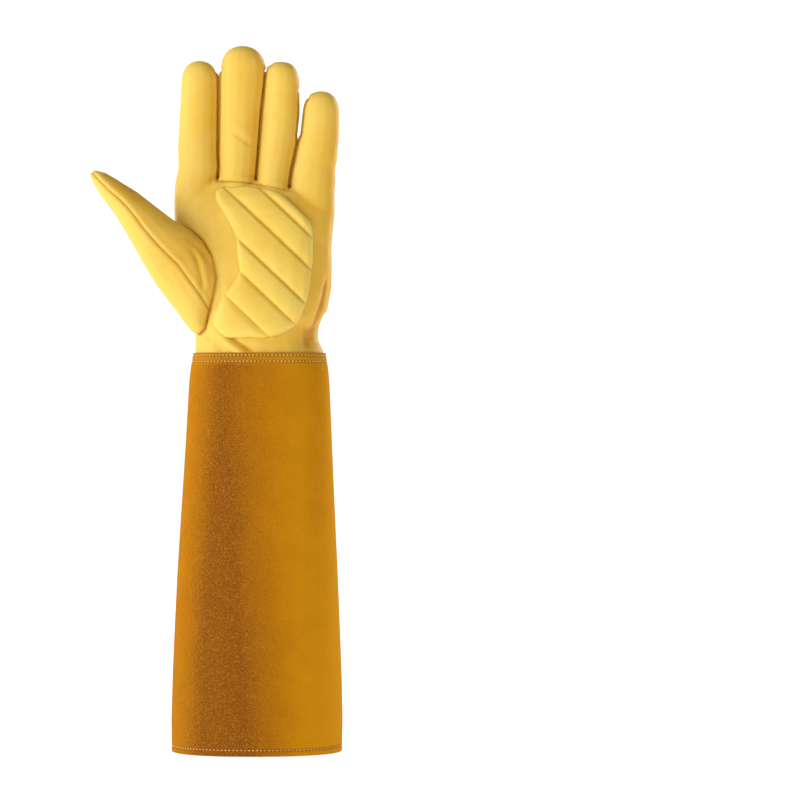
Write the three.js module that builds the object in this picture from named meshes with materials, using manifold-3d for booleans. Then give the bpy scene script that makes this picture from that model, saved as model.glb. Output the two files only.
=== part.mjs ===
// A left-hand rose pruning gauntlet: a grain leather hand with a quilted palm pad and a gathered
// wrist, sewn into a long suede sleeve. It is shown filled out, as on a hand, fingers up.
// Millimetres, +Z up. The palm faces -Y, the thumb points to -X, and the origin is the centre of
// the sleeve's open mouth, where the forearm goes in.

import * as THREE from "three";
import { mergeVertices } from "three/addons/utils/BufferGeometryUtils.js";
import Module from "manifold-3d";

const wasm = await Module();
wasm.setup();

// Leather and sewing
const leatherWall = 1.4;
const suedeWall = 1.8;
const seamGap = 0.3;

// Sleeve
const sleeveLength = 262;
const mouthWidth = 112.6;
const mouthDepth = 100;
const hemTurn = 6;
const topTurn = 8;
const turnThickness = 0.6;
const wristLap = 14;
const sleeveSteps = 28;

// Hand, from the sleeve's top edge to the crotch of the middle fingers
const handLength = 113.5;
const wristSquare = 2.3;
const palmSquare = 3;
const wristWidth = 80;
const wristDepth = 52;
const palmWidth = 105.5;
const knuckleDepth = 30;
const crotchSlope = -0.15;
const crotchBow = 0.0028;
const frontSteps = 12;

// Gathers: an elastic sewn inside the back of the wrist draws the leather into folds
const gatherHeight = 23;
const gatherFolds = 8;
const gatherDepth = 2;
const gatherPinch = 1.8;
const gatherTeeth = 2.6;
const gatherReachUp = 31;
const gatherReachDown = 16;
const gatherLineWidth = 3.5;

// Fingers
const middleLength = 88;
const fingerSquare = 2.3;
const fingerDepth = 23.5;
const fingerCurl = 9;
const tipRound = 13;
const seamBack = 8.5;
const sideSeamBack = 3.5;
const rootSeamDrop = 2.6;
const fourchetteWidth = 7.5;
const fingerSteps = 14;
const fingerInnerSteps = 8;

// Thumb
const thumbLength = 124;
const thumbDepth = 30;
const thumbSpread = 44;
const thumbSteps = 16;
const thumbInnerSteps = 8;

// Palm pad
const padWidth = 66;
const padLength = 103;
const padHeight = 3.4;
const padEdge = 5;
const padRim = 0.5;
const channelDepth = 1.7;
const channelLean = 43.5;

// Welt along the index side seam
const weltRadius = 1.1;

const handTop = sleeveLength + handLength;

// Sections of the hand: up is a share of its length, spread runs from the wrist's width to the
// palm's, thin from the wrist's depth to the knuckles', and shift is a share of the palm's width.
const handSections = [
  { up: -0.124, spread: 0.16, thin: -0.12, shift: 0.016 },
  { up: 0.0, spread: 0.16, thin: -0.12, shift: 0.016 },
  { up: 0.08, spread: 0.0, thin: 0.0, shift: -0.002 },
  { up: 0.15, spread: 0.05, thin: 0.01, shift: -0.002 },
  { up: 0.203, spread: 0.18, thin: 0.04, shift: 0.014 },
  { up: 0.25, spread: 0.28, thin: 0.08, shift: 0.023 },
  { up: 0.4, spread: 0.56, thin: 0.25, shift: 0.018 },
  { up: 0.52, spread: 0.71, thin: 0.38, shift: 0.0 },
  { up: 0.66, spread: 0.85, thin: 0.54, shift: -0.02 },
  { up: 0.8, spread: 0.94, thin: 0.74, shift: -0.022 },
  { up: 0.89, spread: 0.985, thin: 0.99, shift: -0.018 },
  { up: 0.95, spread: 0.985, thin: 1.27, shift: -0.015 },
  { up: 0.985, spread: 0.94, thin: 1.6, shift: -0.014 },
  { up: 1.0, spread: 0.88, thin: 1.9, shift: -0.013 },
];

// Fingers: centre and width at the root, the middle and the top, as shares of the palm's width,
// and length and root height as shares of the middle finger's length.
const fingers = [
  {
    name: "index",
    centre: [-0.38, -0.366, -0.356],
    width: [0.256, 0.238, 0.222],
    length: 0.892,
    thick: 1.0,
  },
  {
    name: "middle",
    centre: [-0.124, -0.102, -0.088],
    width: [0.222, 0.248, 0.262],
    length: 1.0,
    thick: 1.04,
  },
  {
    name: "ring",
    centre: [0.101, 0.148, 0.164],
    width: [0.192, 0.222, 0.2],
    length: 0.884,
    thick: 0.98,
  },
  {
    name: "little",
    centre: [0.345, 0.388, 0.402],
    width: [0.276, 0.24, 0.222],
    length: 0.667,
    thick: 0.9,
  },
];

// Sections of the thumb, from its tip down into the hand. Every column is a share: down of the
// thumb's length, and inside, outside (across the thumb, towards and away from the fingers),
// front and back (out of the palm's plane) of its depth.
const thumbSections = [
  { down: 0.008, inside: 0.05, outside: 0.035, front: 1.24, back: 1.03 },
  { down: 0.06, inside: 0.195, outside: 0.13, front: 1.43, back: 0.83 },
  { down: 0.134, inside: 0.285, outside: 0.205, front: 1.51, back: 0.67 },
  { down: 0.244, inside: 0.4, outside: 0.265, front: 1.52, back: 0.5 },
  { down: 0.354, inside: 0.467, outside: 0.365, front: 1.46, back: 0.36 },
  { down: 0.472, inside: 0.54, outside: 0.5, front: 1.33, back: 0.2 },
  { down: 0.567, inside: 0.65, outside: 0.61, front: 1.2, back: 0.08 },
  { down: 0.661, inside: 0.687, outside: 0.7, front: 1.08, back: 0.0 },
  { down: 0.748, inside: 0.6, outside: 0.75, front: 0.98, back: -0.03 },
  { down: 0.835, inside: 0.36, outside: 0.785, front: 0.88, back: -0.03 },
  { down: 0.906, inside: 0.0, outside: 0.83, front: 0.79, back: 0.0 },
  { down: 0.96, inside: -0.32, outside: 0.86, front: 0.71, back: 0.13 },
  { down: 1.0, inside: -0.56, outside: 0.8, front: 0.64, back: 0.27 },
];

// The thumb's lengthwise seam: down is a share of its length, away (from the fingers) of its depth
const thumbSeam = [
  { down: -0.05, away: 0.0 },
  { down: 0.05, away: 0.0 },
  { down: 0.12, away: 0.005 },
  { down: 0.22, away: -0.035 },
  { down: 0.32, away: -0.025 },
  { down: 0.42, away: 0.035 },
  { down: 0.58, away: 0.06 },
  { down: 0.68, away: 0.05 },
  { down: 0.76, away: 0.115 },
  { down: 0.88, away: 0.22 },
  { down: 1.0, away: 0.35 },
];

// The pad's outline, clockwise from its top left corner, as shares of its width and length
const padOutline = [
  { across: 0.015, up: 0.97 },
  { across: 0.1, up: 0.995 },
  { across: 0.27, up: 0.985 },
  { across: 0.44, up: 0.965 },
  { across: 0.61, up: 0.94 },
  { across: 0.78, up: 0.878 },
  { across: 0.96, up: 0.75 },
  { across: 1.0, up: 0.615 },
  { across: 0.99, up: 0.449 },
  { across: 0.94, up: 0.237 },
  { across: 0.83, up: 0.083 },
  { across: 0.61, up: 0.006 },
  { across: 0.37, up: 0.0 },
  { across: 0.15, up: 0.0 },
  { across: 0.04, up: 0.04 },
  { across: 0.0, up: 0.128 },
  { across: 0.09, up: 0.25 },
  { across: 0.26, up: 0.41 },
  { across: 0.24, up: 0.52 },
  { across: 0.22, up: 0.641 },
  { across: 0.13, up: 0.763 },
  { across: 0.0, up: 0.89 },
];
// Sewn channels, as shares of the pad's length measured square to them, from its upper corner
const padChannels = [0.076, 0.243, 0.442, 0.598, 0.788];

const lerp = THREE.MathUtils.lerp;
const radians = THREE.MathUtils.degToRad;
const clamp = THREE.MathUtils.clamp;

// A value of a table's column at a place, on a smooth curve through its rows
function columnAt(rows, key, column, place) {
  const last = rows.length - 1;
  if (place <= rows[0][key]) return rows[0][column];
  if (place >= rows[last][key]) return rows[last][column];
  const i = rows.findIndex((row) => row[key] > place) - 1;
  const slope = (a, b) => (b[column] - a[column]) / (b[key] - a[key]);
  const here = slope(rows[i], rows[i + 1]);
  const before = i > 0 ? (slope(rows[i - 1], rows[i]) + here) / 2 : here;
  const after = i + 2 <= last ? (slope(rows[i + 1], rows[i + 2]) + here) / 2 : here;
  const span = rows[i + 1][key] - rows[i][key];
  const t = (place - rows[i][key]) / span;
  const rise = rows[i + 1][column] - rows[i][column];
  const smooth = rows[i][column] + rise * t * t * (3 - 2 * t);
  return smooth + span * t * (1 - t) * (before * (1 - t) - after * t);
}

const evenAngles = (steps) => Array.from({ length: steps }, (_, i) => (i / steps) * 2 * Math.PI);

// Angles round the hand: over the back four for each gathered fold, and even over the palm
function handAngles() {
  const folds = Array.from({ length: 4 * gatherFolds - 1 }, (_, i) => 1 - (i + 1) / (2 * gatherFolds));
  const sides = [1, 0.985, ...folds, -0.985];
  const palm = Array.from({ length: frontSteps }, (_, i) => Math.PI * (1 + i / frontSteps));
  return [...sides.map((side) => Math.acos(side)), ...palm];
}

// An oval ring of points at a height: deep is its half depth, and a higher square is blunter
function ovalRing({ x, y = 0, z, half, deep, square, angles }) {
  return angles.map((angle) => {
    const side = Math.cos(angle);
    const rise = (1 - Math.abs(side) ** square) ** (1 / square);
    return new THREE.Vector3(x + half * side, y + deep * Math.sign(Math.sin(angle)) * rise, z);
  });
}

// A closed mesh through rings of as many points each, with a fan over each end
function loft(rings) {
  const steps = rings[0].length;
  const ends = [rings[0], rings.at(-1)].map((ring) =>
    ring.reduce((sum, point) => sum.add(point), new THREE.Vector3()).divideScalar(steps),
  );
  const points = [...rings.flat(), ...ends];
  const faces = [];
  rings.slice(1).forEach((_, row) => {
    for (let i = 0; i < steps; i++) {
      const a = row * steps + i;
      const b = row * steps + ((i + 1) % steps);
      faces.push(a, b, b + steps, a, b + steps, a + steps);
    }
  });
  const top = (rings.length - 1) * steps;
  for (let i = 0; i < steps; i++) {
    const next = (i + 1) % steps;
    faces.push(next, i, points.length - 2);
    faces.push(top + i, top + next, points.length - 1);
  }
  const geometry = new THREE.BufferGeometry().setFromPoints(points);
  geometry.setIndex(faces);
  return geometry;
}

// A closed mesh as a solid, turned to face out
function solid(geometry) {
  const bare = geometry.clone();
  bare.deleteAttribute("normal");
  bare.deleteAttribute("uv");
  const merged = mergeVertices(bare, 1e-4);
  const triVerts = new Uint32Array(merged.index.array);
  const vertProperties = merged.attributes.position.array;
  const made = new wasm.Manifold(new wasm.Mesh({ numProp: 3, vertProperties, triVerts }));
  if (made.volume() > 0) return made;
  triVerts.reverse();
  return new wasm.Manifold(new wasm.Mesh({ numProp: 3, vertProperties, triVerts }));
}

const union = (solids) => solids.reduce((sum, next) => sum.add(next));

// The largest body of a solid: a cut along a seam can leave a crumb beside it
const mainBody = (made) =>
  made.decompose().reduce((best, body) => (body.volume() > best.volume() ? body : best));

// A prism on an outline in the XZ plane, through the whole depth of the hand
function prismThroughDepth(outline) {
  const reach = mouthDepth + thumbDepth;
  const shape = new THREE.Shape(outline.map(([x, z]) => new THREE.Vector2(x, z)));
  const geometry = new THREE.ExtrudeGeometry(shape, { depth: 2 * reach, bevelEnabled: false });
  return solid(geometry.rotateX(Math.PI / 2).translate(0, reach, 0));
}

// How much higher or lower the finger roots are at a place across the hand
const crotchRise = (x) => x * (crotchSlope - crotchBow * x);

// Half sizes and centre of the hand's section at a height, inside the leather by an inset
function handSection(z, inset) {
  const up = (z - sleeveLength) / handLength;
  const width = lerp(wristWidth, palmWidth, columnAt(handSections, "up", "spread", up));
  const depth = lerp(wristDepth, knuckleDepth, columnAt(handSections, "up", "thin", up));
  return {
    x: palmWidth * columnAt(handSections, "up", "shift", up),
    half: width / 2 - inset,
    deep: depth / 2 - inset,
    square: lerp(wristSquare, palmSquare, clamp(up, 0, 1)),
  };
}

// How far the gathers move the back of the wrist: out, and up along a toothed line
function gather(z, side) {
  const above = z - (sleeveLength + gatherHeight);
  const reach = above > 0 ? gatherReachUp : gatherReachDown;
  const fade = Math.exp(-((above / reach) ** 2));
  const across = 1 - side ** 4;
  const wave = Math.cos(gatherFolds * Math.PI * side);
  const pinch = Math.exp(-((above / gatherLineWidth) ** 2));
  const out = across * (fade * gatherDepth * wave - pinch * gatherPinch);
  return { out, rise: gatherTeeth * pinch * wave };
}

// The hand without its fingers, as a solid inside its leather by an inset
function handBody(inset) {
  const angles = handAngles();
  const heights = handSections.map((row) => sleeveLength + handLength * row.up);
  const end = inset > 0 ? 2 * leatherWall : 0;
  heights[0] = sleeveLength - wristLap - end;
  const rings = heights.map((z, row) => {
    const { x, half, deep, square } = handSection(z, inset);
    const drop = row === heights.length - 1 ? inset : 0;
    const lean = clamp((z - sleeveLength) / handLength, 0, 1) ** 2;
    const ring = ovalRing({ x, z: z - drop, half, deep, square, angles });
    ring.forEach((point, i) => {
      const back = angles[i] < Math.PI ? gather(z, Math.cos(angles[i])) : { out: 0, rise: 0 };
      point.y += back.out;
      point.z += back.rise + lean * crotchRise(point.x);
    });
    return ring;
  });
  return loft(rings);
}

// A finger's height above its root, length, width and centre, and how far its tip curls forward
const curlAt = (z) => -fingerCurl * (Math.max(0, z - handTop) / middleLength) ** 2;

function fingerSection(finger, z, inset) {
  const length = middleLength * finger.length;
  const up = clamp((z - handTop) / length, 0, 1);
  const at = ([root, middle, top]) => {
    const rows = [
      { up: 0, size: root },
      { up: 0.45, size: middle },
      { up: 0.8, size: top },
    ];
    return palmWidth * columnAt(rows, "up", "size", up);
  };
  return {
    x: at(finger.centre),
    half: at(finger.width) / 2 - inset,
    deep: (fingerDepth * finger.thick * lerp(1.04, 0.9, up)) / 2 - inset,
  };
}

function fingerBody(finger, inset, steps) {
  const angles = evenAngles(steps);
  const tip = handTop + middleLength * finger.length;
  const shoulder = tip - tipRound;
  const root = handTop - fingerDepth * 0.9;
  const straightRows = 4;
  const roundRows = 4;
  const rings = [];
  for (let row = 0; row < straightRows; row++) {
    const z = lerp(root, shoulder, row / straightRows);
    const { x, half, deep } = fingerSection(finger, z, inset);
    const y = curlAt(z);
    rings.push(ovalRing({ x, y, z, half, deep, square: fingerSquare, angles }));
  }
  for (let row = 0; row <= roundRows; row++) {
    const angle = (row / (roundRows + 0.35)) * (Math.PI / 2);
    const z = shoulder + (tipRound - inset) * Math.sin(angle);
    const { x, half, deep } = fingerSection(finger, z, inset);
    const narrow = Math.cos(angle) ** 0.85;
    const sizes = { half: half * narrow, deep: deep * narrow };
    rings.push(ovalRing({ x, y: curlAt(z), z, ...sizes, square: fingerSquare, angles }));
  }
  return loft(rings);
}

// The whole hand as one solid, inside its leather by an inset
function handSolid(inset, steps) {
  const body = solid(handBody(inset));
  return union([body, ...fingers.map((finger) => solid(fingerBody(finger, inset, steps)))]);
}

// The thumb's own directions: along points from its tip into the hand, inward to the fingers
const thumbAlong = new THREE.Vector3(
  Math.sin(radians(thumbSpread)),
  0,
  -Math.cos(radians(thumbSpread)),
);
const thumbInward = new THREE.Vector3(-thumbAlong.z, 0, thumbAlong.x);
const thumbEnd = new THREE.Vector3(-palmWidth * 0.2, 0, sleeveLength + handLength * 0.255);
const thumbTip = thumbEnd.clone().addScaledVector(thumbAlong, -thumbLength);

function thumbBody(inset, steps) {
  const least = 0.5;
  const rings = thumbSections.map((row, index) => {
    const end = index === 0 ? inset : 0;
    const centre = thumbTip.clone().addScaledVector(thumbAlong, thumbLength * row.down + end);
    const middle = (thumbDepth * (row.inside - row.outside)) / 2;
    const half = Math.max(least, (thumbDepth * (row.inside + row.outside)) / 2 - inset);
    const deep = Math.max(least, (thumbDepth * (row.front - row.back)) / 2 - inset);
    const forward = (thumbDepth * (row.front + row.back)) / 2;
    centre.addScaledVector(thumbInward, middle);
    return evenAngles(steps).map((angle) => {
      const point = centre.clone().addScaledVector(thumbInward, half * Math.cos(angle));
      point.y = -forward + deep * Math.sin(angle);
      return point;
    });
  });
  return loft(rings);
}

// The sleeve: a tapering suede tube, a little thicker where its edges are turned under. Its top
// goes round the wrist leather with a clearance, so its sizes there come from the hand's.
function sleeve() {
  const rim = handSection(sleeveLength, -(seamGap + suedeWall));
  const profile = [
    { up: 0, spread: 0.985 },
    { up: 0.08, spread: 1 },
    { up: 0.2, spread: 0.915 },
    { up: 0.44, spread: 0.68 },
    { up: 0.68, spread: 0.405 },
    { up: 0.92, spread: 0.135 },
    { up: 1, spread: 0 },
  ];
  const section = (z) => {
    const spread = columnAt(profile, "up", "spread", clamp(z / sleeveLength, 0, 1));
    return {
      x: rim.x * clamp(z / sleeveLength, 0, 1),
      half: lerp(rim.half, mouthWidth / 2, spread),
      deep: lerp(rim.deep, mouthDepth / 2, spread),
    };
  };
  const ring = (z, inset) => {
    const { x, half, deep } = section(z);
    const angles = evenAngles(sleeveSteps);
    return ovalRing({ x, z, half: half - inset, deep: deep - inset, square: wristSquare, angles });
  };
  const lap = sleeveLength - wristLap - 2 * seamGap;
  const outside = [
    { z: 0, inset: turnThickness },
    { z: hemTurn * 0.3, inset: 0 },
    { z: hemTurn, inset: -turnThickness / 2 },
    { z: hemTurn * 1.35, inset: turnThickness / 4 },
    { z: sleeveLength * 0.08, inset: 0 },
    { z: sleeveLength * 0.2, inset: 0 },
    { z: sleeveLength * 0.44, inset: 0 },
    { z: sleeveLength * 0.68, inset: 0 },
    { z: sleeveLength - topTurn * 1.2, inset: turnThickness / 6 },
    { z: sleeveLength - topTurn, inset: -turnThickness },
    { z: sleeveLength - turnThickness, inset: -turnThickness },
    { z: sleeveLength, inset: -turnThickness / 3 },
  ];
  const inside = [
    { z: -1, inset: suedeWall + turnThickness },
    { z: hemTurn, inset: suedeWall + turnThickness },
    { z: hemTurn * 1.3, inset: suedeWall },
    { z: sleeveLength * 0.2, inset: suedeWall },
    { z: sleeveLength * 0.44, inset: suedeWall },
    { z: sleeveLength * 0.68, inset: suedeWall },
    { z: lap, inset: suedeWall },
    { z: sleeveLength + 1, inset: suedeWall },
  ];
  const tube = (rows) => solid(loft(rows.map(({ z, inset }) => ring(z, inset))));
  return tube(outside).subtract(tube(inside));
}

// The seam between back and palm leather follows the fingers' curl. It lies further back on the
// index finger's outer side, and slants over that finger's tip to the depth of all the others.
const lowest = sleeveLength - 2 * wristLap;
const highest = handTop + 1.2 * middleLength;
const far = mouthDepth + thumbDepth;
const seamSlant = [
  { up: 0.7, from: -0.31, to: -0.19 },
  { up: 0.92, from: -0.42, to: -0.29 },
];

function behindSeam(offset) {
  const curlRows = 7;
  const heights = [lowest, ...seamSlant.map(({ up }) => sleeveLength + handLength * up)];
  for (let row = 0; row <= curlRows; row++) heights.push(lerp(handTop, highest, row / curlRows));
  const rings = heights.map((z) => {
    const up = (z - sleeveLength) / handLength;
    const [from, to] = ["from", "to"].map((end) => palmWidth * columnAt(seamSlant, "up", end, up));
    const [outer, side] = [seamBack, sideSeamBack].map((back) => back + offset + curlAt(z));
    const front = [[-far, outer], [from, outer], [to, side], [far, side]];
    return [...front, [far, far], [-far, far]].map(([x, y]) => new THREE.Vector3(x, y, z));
  });
  return solid(loft(rings));
}

// The side walls of two neighbouring fingers and the web between them, as a prism in the plane
function fourchettePrism(left, right, grow) {
  const lengths = [left, right].map((finger) => middleLength * finger.length - tipRound * 0.8);
  const foot = handTop - fingerDepth * 0.35 - grow;
  const rows = 4;
  const edge = (finger, length, move) =>
    Array.from({ length: rows + 1 }, (_, row) => {
      const z = lerp(foot, handTop + length + grow, row / rows);
      return [fingerSection(finger, z, 0).x + move, z];
    });
  const rightEdge = edge(right, lengths[1], grow).reverse();
  return prismThroughDepth([...edge(left, lengths[0], -grow), ...rightEdge]);
}

const fourchetteRoom = (left, right, grow) =>
  fourchettePrism(left, right, grow).intersect(behindSeam(-fourchetteWidth - grow));

// The palm side of the middle and ring fingers, above a seam across their roots
function middleFrontPrism(grow) {
  const between = (a, b, z) => {
    const [left, right] = [a, b].map((finger) => fingerSection(finger, z, 0));
    return (left.x + left.half + right.x - right.half) / 2;
  };
  const side = (a, b, move) => {
    const rows = 3;
    const heights = [];
    for (let row = 0; row <= rows; row++) {
      heights.push(lerp(handTop, handTop + middleLength * 0.9, row / rows));
    }
    heights.push(highest);
    return heights.map((z) => [between(a, b, z) + move, z]);
  };
  const [index, middle, ring, little] = fingers;
  const left = side(index, middle, -grow);
  const right = side(ring, little, grow);
  const footSteps = 6;
  const foot = Array.from({ length: footSteps + 1 }, (_, i) => {
    const x = lerp(right[0][0], left[0][0], i / footSteps);
    return [x, handTop + crotchRise(x) - rootSeamDrop - grow];
  });
  return prismThroughDepth([...left, ...right.reverse(), ...foot]);
}

// Palm pad: a quilted layer laid on the palm, puffed between its sewn channels
const padCorner = { x: -palmWidth * 0.269, z: sleeveLength + handLength * 0.085 };
const padPoint = ({ across, up }) =>
  new THREE.Vector2(padCorner.x + padWidth * across, padCorner.z + padLength * up);

function palmFront(x, z, inset) {
  const { x: centre, deep, half, square } = handSection(z, inset);
  const out = clamp(Math.abs(x - centre) / half, 0, 1);
  return -deep * (1 - out ** square) ** (1 / square);
}

function padBody() {
  const curve = new THREE.SplineCurve([...padOutline, padOutline[0]].map(padPoint));
  const outline = curve.getPoints(padOutline.length * 6);
  const lean = radians(channelLean);
  const along = new THREE.Vector2(Math.cos(lean), -Math.sin(lean));
  const square = new THREE.Vector2(-along.y, along.x).negate();
  const spans = outline.map((point) => point.dot(square));
  const start = Math.min(...spans);
  const size = Math.max(...spans) - start;
  const valleys = [0, ...padChannels, 1];
  const puffRows = [0.14, 0.4, 0.6, 0.86, 1];
  const rows = [];
  valleys.slice(1).forEach((end, i) => {
    for (const share of puffRows) rows.push(lerp(valleys[i], end, share));
  });
  rows.pop();
  rows.push(0.985);
  rows[0] = 0.015;
  const puffAt = (place) => {
    const next = valleys.findIndex((end) => end >= place);
    const share = (place - valleys[next - 1]) / (valleys[next] - valleys[next - 1]);
    return Math.sqrt(Math.max(0, 1 - (2 * share - 1) ** 2));
  };
  const edgeDistance = (point) => {
    const line = new THREE.Line3();
    const near = new THREE.Vector3();
    const here = new THREE.Vector3(point.x, point.y, 0);
    return outline.slice(1).reduce((least, next, i) => {
      line.start.set(outline[i].x, outline[i].y, 0);
      line.end.set(next.x, next.y, 0);
      return Math.min(least, line.closestPointToPoint(here, true, near).distanceTo(here));
    }, Infinity);
  };
  const columns = 7;
  const sections = rows.map((place) => {
    const level = start + size * place;
    const cuts = [];
    outline.slice(1).forEach((next, i) => {
      const [a, b] = [spans[i] - level, spans[i + 1] - level];
      if (a * b < 0) cuts.push(outline[i].clone().lerp(next, a / (a - b)).dot(along));
    });
    const [from, to] = [Math.min(...cuts), Math.max(...cuts)];
    const puff = puffAt(place);
    const top = [];
    const bottom = [];
    for (let column = 0; column <= columns; column++) {
      const share = 0.5 - 0.5 * Math.cos((column / columns) * Math.PI);
      const flat = along.clone().multiplyScalar(lerp(from, to, share));
      flat.addScaledVector(square, level);
      const rise = Math.sqrt(1 - (1 - clamp(edgeDistance(flat) / padEdge, 0, 1)) ** 2);
      const full = padHeight - channelDepth + channelDepth * puff;
      const height = lerp(padRim, full, rise);
      const base = palmFront(flat.x, flat.y, 0);
      top.push(new THREE.Vector3(flat.x, base - seamGap - height, flat.y));
      bottom.unshift(new THREE.Vector3(flat.x, base + leatherWall, flat.y));
    }
    return [...top, ...bottom];
  });
  return loft(sections);
}

// Welt: a thin leather roll laid over the index side seam, from the wrist to near the fingertip
function weltBody() {
  const index = fingers[0];
  const sideAt = (z) => {
    const palm = handSection(z, 0);
    const finger = fingerSection(index, z, 0);
    const out = (deep, square) => (1 - clamp(seamBack / deep, 0, 1) ** square) ** (1 / square);
    const palmSide = palm.x - palm.half * out(palm.deep, palm.square);
    const fingerSide = finger.x - finger.half * out(finger.deep, fingerSquare);
    const blend = THREE.MathUtils.smoothstep(z, handTop - fingerDepth * 0.5, handTop);
    return lerp(palmSide, fingerSide, blend);
  };
  const rows = 16;
  const from = sleeveLength + seamGap * 2.5;
  const to = handTop + middleLength * index.length - tipRound;
  const reach = weltRadius * 0.25;
  const points = Array.from({ length: rows + 1 }, (_, row) => {
    const z = lerp(from, to, row / rows);
    return new THREE.Vector3(sideAt(z) - reach, seamBack + curlAt(z) + reach, z);
  });
  const weltSides = 6;
  const around = Array.from({ length: weltSides }, (_, i) => {
    const angle = (i / weltSides) * 2 * Math.PI;
    return new THREE.Vector2(weltRadius * Math.cos(angle), weltRadius * Math.sin(angle));
  });
  const extrudePath = new THREE.CatmullRomCurve3(points);
  return new THREE.ExtrudeGeometry(new THREE.Shape(around), { steps: rows, extrudePath });
}

const outer = handSolid(0, fingerSteps);
const inner = handSolid(leatherWall, fingerInnerSteps);
const clear = handSolid(-seamGap, fingerSteps);
const thumbHollow = solid(thumbBody(leatherWall, thumbInnerSteps));
const shell = outer.subtract(inner).subtract(thumbHollow);

const half = seamGap / 2;
const backPanel = shell.intersect(behindSeam(half));
const palmSide = shell.subtract(behindSeam(-half));
const pairs = [0, 1, 2].map((i) => [fingers[i], fingers[i + 1]]);
const fourchettes = pairs.map(([left, right]) =>
  palmSide.intersect(fourchetteRoom(left, right, -half)),
);
const allRoom = union(pairs.map(([left, right]) => fourchetteRoom(left, right, half)));
const frontLeather = palmSide.subtract(allRoom);
const palmPanel = frontLeather.subtract(middleFrontPrism(half));
const middleFront = frontLeather.intersect(middleFrontPrism(-half));

const thumb = solid(thumbBody(0, thumbSteps)).subtract(thumbHollow).subtract(clear);

// All that lies on the outer side of the thumb's lengthwise seam, moved across it by an offset
function outerSideOfThumb(offset) {
  const at = (down, away) => {
    const point = thumbTip.clone().addScaledVector(thumbAlong, thumbLength * down);
    point.addScaledVector(thumbInward, -away);
    return [point.x, point.z];
  };
  const rows = 16;
  const [first, last] = [thumbSeam[0], thumbSeam.at(-1)];
  const seam = Array.from({ length: rows + 1 }, (_, row) => {
    const down = lerp(first.down, last.down, row / rows);
    return at(down, thumbDepth * columnAt(thumbSeam, "down", "away", down) + offset);
  });
  const reach = 2 * thumbDepth;
  return prismThroughDepth([...seam, at(1.5, thumbDepth), at(1.5, reach), at(-0.5, reach)]);
}

const finishes = {
  grain: { color: 0xe9be55, roughness: 0.55, metalness: 0 },
  side: { color: 0xd79f35, roughness: 0.6, metalness: 0 },
  pad: { color: 0xe2b850, roughness: 0.58, metalness: 0 },
  welt: { color: 0x9a6a1c, roughness: 0.6, metalness: 0 },
  suede: { color: 0xb5730f, roughness: 0.95, metalness: 0 },
};

const gauntlet = new THREE.Group();

function addPiece(name, made, finish) {
  const mesh = mainBody(made).getMesh();
  const geometry = new THREE.BufferGeometry();
  geometry.setAttribute("position", new THREE.BufferAttribute(mesh.vertProperties, 3));
  geometry.setIndex(new THREE.BufferAttribute(mesh.triVerts, 1));
  geometry.computeVertexNormals();
  const piece = new THREE.Mesh(geometry, new THREE.MeshStandardMaterial(finishes[finish]));
  piece.name = name;
  gauntlet.add(piece);
}

addPiece("palm_panel", palmPanel, "grain");
addPiece("back_panel", backPanel, "grain");
addPiece("middle_finger_fronts", middleFront, "grain");
pairs.forEach(([left, right], i) => {
  addPiece(`fourchette_${left.name}_${right.name}`, fourchettes[i], "side");
});
addPiece("thumb_inner_panel", thumb.subtract(outerSideOfThumb(-half)), "grain");
addPiece("thumb_outer_panel", thumb.intersect(outerSideOfThumb(half)), "grain");
addPiece("palm_pad", solid(padBody()).subtract(clear), "pad");
addPiece("index_seam_welt", solid(weltBody()).subtract(clear), "welt");
addPiece("sleeve", sleeve(), "suede");

export default gauntlet;
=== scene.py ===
import itertools
import math

import bmesh
import bpy
import numpy as np
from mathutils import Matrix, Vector
from mathutils.bvhtree import BVHTree
from mathutils.kdtree import KDTree


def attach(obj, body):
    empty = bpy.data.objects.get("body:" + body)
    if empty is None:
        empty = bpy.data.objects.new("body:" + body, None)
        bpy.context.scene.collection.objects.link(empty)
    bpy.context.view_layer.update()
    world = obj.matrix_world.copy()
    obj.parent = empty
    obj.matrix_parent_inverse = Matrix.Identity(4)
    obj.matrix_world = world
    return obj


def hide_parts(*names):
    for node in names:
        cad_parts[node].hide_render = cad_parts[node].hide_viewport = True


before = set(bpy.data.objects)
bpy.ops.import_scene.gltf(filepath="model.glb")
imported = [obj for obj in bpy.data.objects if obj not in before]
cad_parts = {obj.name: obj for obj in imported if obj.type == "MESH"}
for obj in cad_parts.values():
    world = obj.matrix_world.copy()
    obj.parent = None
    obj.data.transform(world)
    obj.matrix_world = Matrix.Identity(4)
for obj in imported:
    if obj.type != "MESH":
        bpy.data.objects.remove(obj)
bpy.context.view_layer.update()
mm = 0.001

# Camera, floor and light
# The glove stands on a pale floor with its palm to the camera, in the left half of a square picture.
# A long lens from far away keeps its sides straight, and the light comes softly from the upper left.
# Places and sizes in this section are in metres.
picture_width = 0.528
camera_distance = 2.6
camera_side = 0.0944
camera_height = 0.231
bpy.ops.object.camera_add(
    location=(camera_side, -camera_distance, camera_height), rotation=(math.pi / 2, 0, 0)
)
camera = bpy.context.object
camera.data.lens = camera.data.sensor_width * camera_distance / picture_width
bpy.context.scene.camera = camera
bpy.context.scene.view_settings.view_transform = "Standard"

# The studio's walls are white all round up to a low height, and its ceiling is dimmer to the right.
studio_strength = 1.1
ceiling_left, ceiling_right = 0.6, 0.12
wall_top, ceiling_start = 0.14, 0.3
range_inputs = ("From Min", "From Max", "To Min", "To Max")
world = bpy.data.worlds.new("pale studio")
world.use_nodes = True
studio = world.node_tree
background = studio.nodes["Background"]
background.inputs["Strength"].default_value = studio_strength
way = studio.nodes.new("ShaderNodeTexCoord")
parts = studio.nodes.new("ShaderNodeSeparateXYZ")
studio.links.new(way.outputs["Generated"], parts.inputs[0])


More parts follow.
